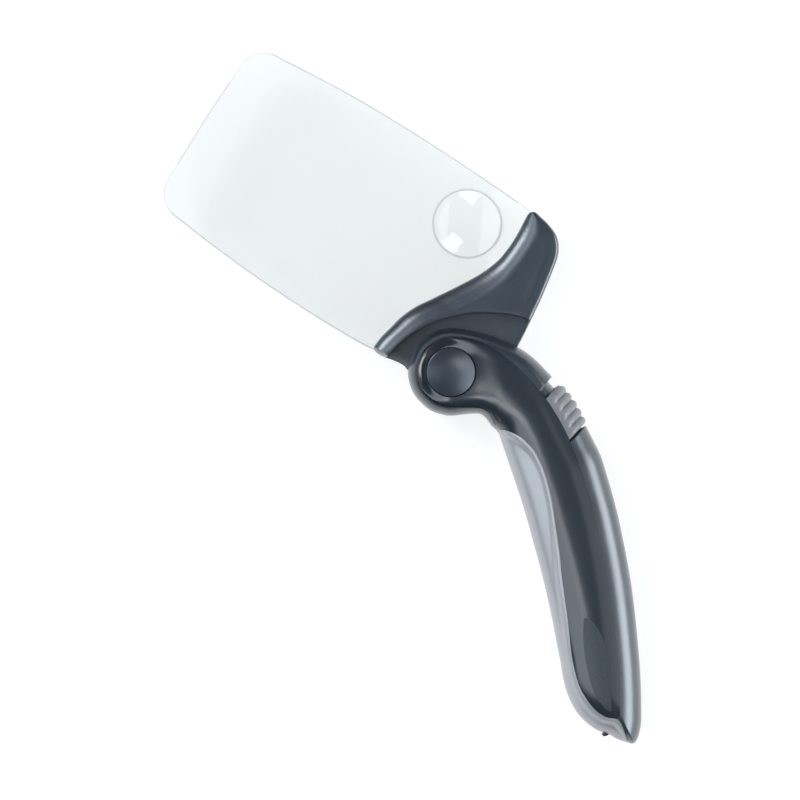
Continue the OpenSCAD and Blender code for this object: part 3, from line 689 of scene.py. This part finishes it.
# latch: the hook at the cover's tip end, rooted under its skin
HOOK = [(96.9, -66.5), (97.1, -65.55), (98.3, -65.5), (98.15, -66.3), (97.9, -66.9), (97.2, -67.5), (96.4, -67.2)]
hook_c = np.mean(HOOK, axis=0)
hm = Mesh()
hook_rows = []
for z, k in ((-4.0, 0.86), (-3.86, 0.97), (-3.7, 1.0), (3.7, 1.0), (3.86, 0.97), (4.0, 0.86)):
    hook_rows.append(np.column_stack([hook_c + (np.array(HOOK) - hook_c) * k, np.full(len(HOOK), MID + z)]))
hm.grid(hook_rows, closed=True)
for r, sg in ((hook_rows[0], 1), (hook_rows[-1], -1)):
    h0 = len(hm.v)
    hm.v.extend(list(r))
    hm.f.append(tuple(h0 + i for i in range(len(r)))[::sg])
latch = to_obj("cover_hook", hm.v, hm.f, M_DARK, "cover", smooth=35)
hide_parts("cover_latch")


# ------------------------------------------------------------------ switch knob
def knob_mesh():
    """Grey rider on the spine with five rounded ribs, from the front round the spine to the back."""
    m = Mesh()
    mid = (Bi + Bo) / 2
    L = knob_local(mid)
    sel = [t for t in range(len(L)) if -12 < L[t, 0] < 12 and L[t, 1] > -14 and mid[t, 0] > 15]
    tt = np.linspace(sel[0], sel[-1], 420)
    pi, po = at(Bi, tt), at(Bo, tt)
    nv = 34
    lx = knob_local(po)[:, 0]
    cols = []
    # columns from the neck-side end to the tip-side end, cut slanted like the seat
    us = np.linspace(0, 1, 96)
    g_all = (1 - np.linspace(0, 1, nv)) ** 2.2
    rows = np.zeros((nv, len(us), 3))
    for j, g in enumerate(g_all):
        P = po + (pi - po) * g
        Lp = knob_local(P)
        x0 = -6.75 - 0.30 * Lp[:, 1] * 0 - 0.3 * (Lp[:, 1] - 2) * 0.9
        x1 = 7.7 - 0.25 * (Lp[:, 1] - 0.5)
        k0 = np.argmax(Lp[:, 0] >= x0)
        k1 = len(Lp) - 1 - np.argmax((Lp[:, 0] <= x1)[::-1])
        idx = k0 + (k1 - k0) * us
        Q = at(P, idx)
        z = np.interp(idx, np.arange(len(P)), rise(P))
        Lq = knob_local(Q)
        endf = np.clip(np.minimum(us, 1 - us) / 0.035, 0, 1)
        roundoff = 0.35 * (1 - (1 - (1 - endf) ** 2) ** 0.5)
        ph = (us - 0.02) * 5.0
        ribs = np.abs(np.sin(np.pi * ph)) ** 0.7
        ribs = (ribs - 0.75) * 1.5
        fade = sstep(1 - g, 0.08, 0.55)
        lift = (0.45 + 0.35 * np.sin(np.pi * np.clip(us, 0, 1)) * (us < 1)) + ribs * fade * 0.62 - roundoff
        g0 = sstep(1 - g, 0.0, 0.22)
        lift = lift * (0.25 + 0.75 * g0)
        # outward direction: towards the silhouette low down, upwards near the inlay
        d = at(po - pi, idx)
        d = d / np.linalg.norm(d, axis=1)[:, None]
        a = (z / 12.0)
        side = np.sqrt(np.clip(1 - a ** 2, 0, 1))
        rows[j, :, :2] = Q + d * (lift * side)[:, None]
        rows[j, :, 2] = MID + z + np.minimum(lift * a * 0.6, 11.9 - z)
    rows[-1, :, 2] = MID
    front = [rows[j] for j in range(nv)]
    backr = [np.column_stack([r[:, :2], 2 * MID - r[:, 2]]) for r in front[::-1]]
    allr = front + backr[1:]
    G = np.array(allr)
    d = np.array([0.45 * -1, 0.893 * -1, 0])
    # inner side: the same sheet drawn in
    inner = G.copy()
    cz = (G[:, :, 2] - MID) / 12.0
    dirn = np.array([-0.45, -0.893])
    inner[:, :, 0] += dirn[0] * 1.6 * np.sqrt(np.clip(1 - cz ** 2, 0.06, 1))
    inner[:, :, 1] += dirn[1] * 1.6 * np.sqrt(np.clip(1 - cz ** 2, 0.06, 1))
    inner[:, :, 2] -= cz * 1.3
    ids = m.grid([r for r in G])
    idn = m.grid([r for r in inner])
    nr, nc = len(ids), len(ids[0])
    for k in range(nc - 1):
        m.f.append((ids[0][k], ids[0][k + 1], idn[0][k + 1], idn[0][k]))
        m.f.append((ids[-1][k], ids[-1][k + 1], idn[-1][k + 1], idn[-1][k]))
    for j in range(nr - 1):
        m.f.append((ids[j][0], ids[j + 1][0], idn[j + 1][0], idn[j][0]))
        m.f.append((ids[j][-1], ids[j + 1][-1], idn[j + 1][-1], idn[j][-1]))
    # stem into the slide switch
    c0 = KO + KX * -0.5 + KY * -2.5
    box = []
    for z in (MID - 0.9, MID + 0.9):
        for sx, sy in ((-1, -3.2), (1, -3.2), (1, 2.0), (-1, 2.0)):
            q = c0 + KX * sx * 0.9 + KY * sy
            box.append((q[0], q[1], z))
    b = m.add(box)
    m.f += [(b[0], b[1], b[2], b[3]), (b[4], b[7], b[6], b[5]), (b[0], b[4], b[5], b[1]), (b[1], b[5], b[6], b[2]),
            (b[2], b[6], b[7], b[3]), (b[3], b[7], b[4], b[0])]
    return m


kmsh = knob_mesh()
knob = to_obj("slide_knob", kmsh.v, kmsh.f, M_KNOB, "knob", smooth=50, bevel=0.0)
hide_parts("switch_knob")


# ------------------------------------------------------------------ head shells
W_LENS = [(-23.6, -6.0), (-23.4, -2.7), (-22.5, 1.4), (-21.6, 5.6), (-20.3, 9.1), (-18.7, 12.2), (-16.9, 15.0),
          (-15.2, 17.8), (-13.4, 20.7), (-11.7, 23.6), (-10.0, 26.5), (-8.4, 29.6), (-7.0, 33.0), (-5.9, 36.7),
          (-5.6, 39.2), (-5.4, 41.8), (-5.4, 44.6), (-5.6, 47.6), (-5.9, 50.8), (-5.95, 52.4), (-5.6, 53.3)]
W_CREASE = [(-20.3, -5.5), (-19.6, -1.6), (-18.8, 1.3), (-17.6, 4.9), (-16.2, 8.3), (-14.5, 11.2), (-12.7, 13.9), (-10.7, 16.4),
            (-8.9, 19.2), (-7.1, 21.9), (-5.4, 24.8), (-3.9, 28.0), (-2.7, 31.8), (-2.2, 35.4), (-1.8, 38.8),
            (-1.7, 42.4), (-1.8, 45.9), (-2.4, 49.1), (-3.4, 51.3), (-4.5, 52.6)]
W_OUTER = [(-5.6, 53.3), (-4.9, 53.9), (-3.9, 54.0), (-2.4, 53.7), (-0.4, 53.35), (1.6, 52.8), (4.1, 51.8), (5.9, 50.4),
           (7.2, 48.8), (8.3, 46.6), (8.9, 44.5), (9.4, 42.0), (10.0, 38.8), (10.6, 35.4), (11.1, 32.4),
           (11.4, 29.8), (11.75, 27.0), (11.9, 25.7)]
W_ARC = [(10.9, 25.6), (10.1, 25.5), (8.5, 25.2), (5.7, 24.2), (3.0, 22.8), (0.4, 21.4), (-2.2, 19.8), (-4.6, 18.0),
         (-6.9, 16.0), (-9.0, 13.8), (-11.1, 11.5), (-13.0, 8.9), (-14.7, 6.0), (-16.2, 2.9), (-17.4, -0.5),
         (-18.0, -3.1), (-18.5, -6.0)]
N_E = 120
w_lens = resample(relax(dense(W_LENS), 10), N_E)
w_crease = resample(relax(dense(W_CREASE), 10), N_E)
w_outer = resample(relax(dense(W_OUTER), 4), 110)
w_arc = resample(relax(dense(W_ARC), 10), 120)


def left_of(P, amount):
    """The curve moved sideways to its right-hand side by amount (mm)."""
    t = np.gradient(P, axis=0)
    t /= np.linalg.norm(t, axis=1)[:, None]
    return P + np.stack([t[:, 1], -t[:, 0]], 1) * amount


TOPZ, PLATE = 19.95, 16.45
# section of the bevel: its slope grows from the crease to the lens
BT = np.linspace(0, 1, 25)
_al = np.radians(np.where(BT < 0.8, 12 + 36 * BT, 40.8 + (BT - 0.8) / 0.2 * 36))
_sl = np.tan(_al)
BZ = np.concatenate([[0], np.cumsum((_sl[1:] + _sl[:-1]) / 2 * np.diff(BT))])
BW = np.clip(np.linalg.norm(w_lens - w_crease, axis=1), 1.2, 4.2)


def half_head(window, screws):
    m = Mesh()
    o_in = left_of(w_outer, 1.25)          # inner line of the rounded outer edge
    o_in[0] = w_crease[-1] + np.array([0.35, -0.1])
    o_in[1] = (o_in[0] + o_in[2]) / 2
    a_in = w_arc.copy()
    a_in[0] = o_in[-1] * 0.6 + w_arc[0] * 0.4
    loop = list(w_crease[::-1])[:-1] + [np.array([-20.3, -5.5]), np.array([-19.5, -5.95])] + list(a_in[::-1]) + list(o_in[::-1][1:-1])
    loop = np.array(loop)
    holes = []
    ring = lambda c, r, n: [(c[0] + r * math.cos(2 * math.pi * k / n), c[1] + r * math.sin(2 * math.pi * k / n)) for k in range(n)]
    if window:
        holes.append(ring((3.4, 38.2), 3.9, 64))
    for p in screws:
        holes.append(ring(p, 2.4, 40))

    def z_top(P):
        dc = loop_dist(P, w_crease)
        da = loop_dist(P, w_arc)
        do = loop_dist(P, o_in)
        k = lambda d, w: (1 - np.clip(d / w, 0, 1)) ** 2
        dish = 0.35 * sstep(dc, 1.0, 9.0) * sstep(da, 0.5, 7.0) * sstep(do, 1.0, 6.0)
        return TOPZ - 0.42 * k(dc, 1.8) - 0.14 * k(da, 0.45) - 0.25 * k(do, 2.6) - dish * 0.5
    V, F = cdt(loop, z_top, step=1.1, holes=holes, pad=0.55,
               extra=[left_of(w_crease, 0.5)[2:-3], left_of(w_crease, 1.1)[3:-4], left_of(w_arc, 0.25)[3:-3], left_of(w_arc, 0.6)[4:-4]])
    k0 = len(m.v)
    m.v.extend(list(V))
    m.f.extend([tuple(k0 + i for i in t) for t in F])
    # bevel from the crease to the lens
    zc = z_top(w_crease)
    rows = []
    for t, dz in zip(BT, BZ):
        P = w_crease + (w_lens - w_crease) * t
        rows.append(np.column_stack([P, zc - dz * BW]))
    low = rows[-1].copy()
    for off, z in ((-0.02, 14.45), (0.15, 14.36), (2.2, 14.34)):
        q = left_of(w_lens, off)
        rows.append(np.column_stack([q, np.full(len(q), z)]))
    m.grid(rows)
    # rounded outer edge and wall
    zo = z_top(o_in)
    rows = []
    for a in np.linspace(0, 1, 9):
        s_ = math.sin(a * math.pi / 2)
        c_ = 1 - math.cos(a * math.pi / 2)
        P = o_in + (w_outer - o_in) * s_
        rows.append(np.column_stack([P, zo - (zo - 18.15) * c_]))
    for z in (17.6, 15.5, 12.5, 12.12):
        rows.append(np.column_stack([w_outer, np.full(len(w_outer), z)]))
    q = left_of(w_outer, 0.2)
    rows.append(np.column_stack([q, np.full(len(w_outer), 12.04)]))
    q = left_of(w_outer, 0.9)
    rows.append(np.column_stack([q, np.full(len(w_outer), 12.02)]))
    m.grid(rows)
    # tip of the wing: closes crease end, lens-edge end and outer start
    tipc = [tuple(list(w_crease[-1]) + [zc[-1]])] + [tuple(r[0]) for r in rows[:9]]
    bev_end = [np.append(w_crease[-1] + (w_lens[-1] - w_crease[-1]) * t, zc[-1] - np.interp(t, BT, BZ) * BW[-1]) for t in np.linspace(0, 1, 9)]
    m.grid([np.array(bev_end), np.array([r[0] for r in rows[:9]])])
    m.grid([np.array([bev_end[-1], np.append(w_lens[-1], 14.36)]), np.array([rows[8][0], rows[10][0]])])
    # step down to the plate
    za = z_top(a_in)
    rows = []
    for t, off, z in ((0, 0, None), (0, -0.06, -0.05), (0, -0.14, -0.22), (0, -0.2, -1.0), (0, -0.26, -2.0), (0, -0.3, PLATE - 0.2)):
        P = left_of(w_arc, off) if off else a_in
        if z is None:
            Z = za
        elif z < 0:
            Z = za + z
        else:
            Z = np.full(len(P), z)
        rows.append(np.column_stack([P, Z]))
    m.grid(rows)
    # left bottom corner of the wing
    bz = lambda t: zc[0] - np.interp(t, BT, BZ) * BW[0]
    top = np.array([np.append(w_crease[0] + (w_lens[0] - w_crease[0]) * t, bz(t)) for t in (1.0, 0.75, 0.5, 0.25, 0.0)]
                   + [np.array((-19.5, -5.95, TOPZ - 0.3)), np.array((-18.5, -6.0, TOPZ - 0.15))])
    bot = np.array([(-23.2, -6.5), (-22.6, -6.85), (-22.0, -7.02), (-21.3, -7.1), (-20.5, -7.08), (-19.7, -6.95), (-18.9, -6.8)])
    rows = []
    for t in (0, 0.08, 0.2, 0.4, 0.6, 0.8, 1.0):
        e = 1 - (1 - t) ** 2
        P = top[:, :2] + (bot - top[:, :2]) * e
        rows.append(np.column_stack([P, top[:, 2] + (12.3 - top[:, 2]) * t]))
    rows.append(np.column_stack([bot + np.array([0.1, 0.15]), np.full(len(bot), 12.06)]))
    rows.append(np.column_stack([bot + np.array([0.3, 0.9]), np.full(len(bot), 12.03)]))
    m.grid(rows)
    # plate round the pivot
    hid = [(12.6, 12.6), (12.0, 9.1), (11.5, 7.3), (11.2, 6.0), (11.5, 4.2), (11.9, 2.8)] + [(12.3 * math.cos(a), 12.3 * math.sin(a)) for a in np.radians(np.arange(5, -146, -6))]
    right_e = resample(dense([(11.9, 25.7), (12.05, 24.3), (12.35, 22.0), (12.6, 19.1), (12.85, 16.4)]), 24)
    lb = resample(dense([(-10.6, -6.6), (-11.6, -6.3), (-12.6, -5.95), (-14.2, -5.9), (-16.8, -6.3), (-18.9, -6.8)]), 30)
    plate = np.array(list(right_e) + hid + list(lb) + list(left_of(w_arc, 0.3)[::-1][2:-2]))
    edge = np.array(list(right_e) + hid + list(lb))
    edge_in = left_of(edge, 0.38)
    edge_in[0] = edge[0] + np.array([-0.35, 0])
    plate = np.array(list(edge_in) + list(left_of(w_arc, 0.3)[::-1][2:-2]))
    V, F = cdt(plate, lambda P: np.full(len(P), PLATE), step=2.2, holes=[ring((0, 0), 4.6, 64)])
    k0 = len(m.v)
    m.v.extend(list(V))
    m.f.extend([tuple(k0 + i for i in t) for t in F])
    m.grid([np.column_stack([edge_in + (edge - edge_in) * math.sin(a), np.full(len(edge), PLATE - 0.38 * (1 - math.cos(a)))])
            for a in np.linspace(0, math.pi / 2, 6)]
           + [np.column_stack([edge, np.full(len(edge), z)]) for z in (15, 12.12)]
           + [np.column_stack([edge_in, np.full(len(edge), 12.04)])])
    # small fillet between plate's right edge and the wing's wall
    m.grid([np.array([np.append(w_outer[-1], 18.15), np.append(w_outer[-1], PLATE)]), np.array([np.append(a_in[0], za[0]), np.append(a_in[0], PLATE)])])
    # recesses
    for h in holes:
        hz = z_top(np.array(h))
        top = np.column_stack([np.array(h), hz])
        rows = [top]
        for dz in (0.12, 2.0, 3.4):
            q = top.copy()
            q[:, 2] -= dz
            rows.append(q)
        m.grid(rows, closed=True)
    return m


hf = half_head(False, [])
head_front = to_obj("head_cover_front", hf.v, hf.f, M_SATIN, "head", smooth=32)
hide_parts("head_shell_front")
hb = half_head(True, [(4.4, 46.6), (6.4, 29.9)]).mirrored()
head_back = to_obj("head_cover_back", hb.v, hb.f, M_SATIN, "head", smooth=32)
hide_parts("head_shell_back")


# ------------------------------------------------------------------ lens
def lens_mesh():
    m = Mesh()
    top = dense([(-6.0, 53.75), (-14, 54.15), (-24, 54.5), (-34, 54.7), (-45, 54.75), (-56, 54.65), (-66, 54.35), (-76, 53.75), (-86, 52.9), (-93.2, 52.2)])
    bot = dense([(-93.2, -5.2), (-86, -5.95), (-76, -6.75), (-66, -7.35), (-56, -7.65), (-45, -7.75), (-36, -7.6), (-29, -7.35), (-24.2, -7.0)])
    def corner(c, r, a0, a1, n=26):
        a = np.radians(np.linspace(a0, a1, n))
        return np.stack([c[0] + r * np.cos(a), c[1] + r * np.sin(a)], 1)
    c1 = corner((-93.9, 43.3), 8.9, 86, 176)
    c2 = corner((-93.9, 3.7), 8.9, 184, 274)
    far = dense([tuple(c1[-1]), (-103.0, 33), (-103.15, 23.5), (-103.0, 14), tuple(c2[0])])
    near = w_crease[1:-1] * 0.96 + w_lens[1:-1] * 0.04
    loop = np.vstack([top[:-1], c1[:-1], far[:-1], c2[:-1], bot[:-1], np.array([(-22.6, -6.7)]), near])
    loop = resample(np.vstack([loop, loop[:1]]), 520)[:-1]
    for _ in range(2):
        loop = 0.25 * np.roll(loop, 1, 0) + 0.5 * loop + 0.25 * np.roll(loop, -1, 0)
    lc = np.array([-52.8, 23.5])
    half = lambda P: 1.0 + 2.486 - ((np.asarray(P) - lc) ** 2).sum(1) / 1400.0
    t = np.roll(loop, -1, 0) - np.roll(loop, 1, 0)
    t /= np.linalg.norm(t, axis=1)[:, None]
    area2 = (loop[:, 0] * np.roll(loop[:, 1], -1) - np.roll(loop[:, 0], -1) * loop[:, 1]).sum()
    nrm = np.stack([t[:, 1], -t[:, 0]], 1) * (1 if area2 > 0 else -1)
    ins = loop - nrm * 0.48
    c = np.array([-19.8, 40.2])
    R = 10.45

    def z_front(P):
        r = np.linalg.norm(P - c, axis=1)
        h = half(P)
        dome = np.interp(r, [0, 2, 4, 6, 8, 9.4, 9.9, 10.15, 10.3, 10.45],
                         [3.80, 3.76, 3.64, 3.44, 3.14, 2.88, 2.80, 2.74, 2.66, 2.0])
        return MID + np.where(r < R, np.maximum(h, dome), h)
    rings = [[(c[0] + r * math.cos(a), c[1] + r * math.sin(a)) for a in np.linspace(0, 2 * math.pi, 120, endpoint=False)]
             for r in (10.6, 10.42, 10.3, 10.15, 9.9, 9.4, 8.4, 7.0)]
    V, F = cdt(ins, z_front, step=2.4, extra=rings, pad=0.5)
    k0 = len(m.v)
    m.v.extend(list(V))
    m.f.extend([tuple(k0 + i for i in t_) for t_ in F])
    V, F = cdt(ins, lambda P: MID - half(P), step=2.4, pad=0.5)
    k0 = len(m.v)
    m.v.extend(list(V))
    m.f.extend([tuple(k0 + i for i in t_) for t_ in F])
    h = half(ins)
    rows = []
    for off, f in ((0, 1.0), (0.25, 0.86), (0.42, 0.66), (0.48, 0.3), (0.48, 0.0)):
        P = ins + nrm * off
        rows.append(np.column_stack([P, MID + h * f]))
    back = [np.column_stack([r[:, :2], 2 * MID - r[:, 2]]) for r in rows[::-1]]
    m.grid(rows + back[1:], closed=True)
    return m


lm = lens_mesh()
lens = to_obj("reading_lens", lm.v, lm.f, M_LENS, "head", smooth=30)
# Steep edge faces and the thin ring round the inset take the grey edge material. This is painted shade for the dark
# outlines that refraction gives there.
lens.data.materials.append(M_RIM_PAINTED_SHADE)
for pl in lens.data.polygons:
    c_ = pl.center / MM
    r_ = math.hypot(c_[0] + 19.8, c_[1] - 40.2)
    if abs(pl.normal[2]) < 0.75 or (9.95 < r_ < 10.5 and c_[2] > MID):
        pl.material_index = 1
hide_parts("lens")


# ------------------------------------------------------------------ camera, light, floor
floor_me = bpy.data.meshes.new("floor")
floor_me.from_pydata([(-3, -3, -0.0002), (3, -3, -0.0002), (3, 3, -0.0002), (-3, 3, -0.0002)], [], [(0, 1, 2, 3)])
floor = bpy.data.objects.new("floor", floor_me)
bpy.context.scene.collection.objects.link(floor)
fm = mat("paper_white", (0.32, 0.32, 0.325), rough=0.75, rough_var=0.03, tone=0.005)
fp = next(n for n in fm.node_tree.nodes if n.type == "BSDF_PRINCIPLED")
fp.inputs["Emission Color"].default_value = (1, 1, 1, 1)
fp.inputs["Emission Strength"].default_value = 0.78
floor_me.materials.append(fm)


def area(name, loc, target, size, power, color=(1, 1, 1), sy=None):
    l = bpy.data.lights.new(name, "AREA")
    l.shape = "RECTANGLE"
    l.size, l.size_y = size, sy or size
    l.energy = power
    l.color = color
    o = bpy.data.objects.new(name, l)
    o.location = loc
    o.rotation_mode = "QUATERNION"
    o.rotation_quaternion = (Vector(target) - Vector(loc)).to_track_quat("-Z", "Y")
    bpy.context.scene.collection.objects.link(o)
    return o


up = Vector((-0.537, 0.843, 0))
right = Vector((0.843, 0.537, 0))
tgt = Vector((0.0, -0.01, 0.01))
def box_light(name, r_, u_, z_, sx, sy, radiance, color=(0.93, 0.97, 1.0)):
    area(name, tgt + right * r_ + up * u_ + Vector((0, 0, z_)), tgt, sx, radiance * math.pi * sx * sy, color, sy=sy)


box_light("left_high", -1.15, 0.1, 1.4, 1.72, 1.8, 2.3, (0.84, 0.93, 1.0))
box_light("right_low", 1.0, -0.1, 0.36, 1.1, 0.62, 7.5)
box_light("key_upper_left", -0.75, 0.65, 0.67, 0.42, 0.36, 14.0)
box_light("right_high", 1.4, 0.0, 2.2, 0.8, 2.0, 0.8)
box_light("spot_low_left", -0.36, -0.42, 2.2, 0.42, 0.42, 5.0)

w = bpy.data.worlds.new("studio")
w.use_nodes = True
bg = w.node_tree.nodes["Background"]
bg.inputs[0].default_value = (0.9, 0.95, 1, 1)
bg.inputs[1].default_value = 0.05
bpy.context.scene.world = w

cam_d = bpy.data.cameras.new("camera")
cam_d.sensor_width = 36
cam_d.lens = 36 * 3.0 / 0.24
cam = bpy.data.objects.new("camera", cam_d)
cen = Vector((-0.0084, -0.0152, 0.012))
cam.location = cen + Vector((0, 0, 3.0))
cam.rotation_euler = (0, 0, math.atan2(right.y, right.x))
cam_d.clip_start, cam_d.clip_end = 0.1, 20
bpy.context.scene.collection.objects.link(cam)
bpy.context.scene.camera = cam
bpy.context.scene.view_settings.view_transform = "Standard"
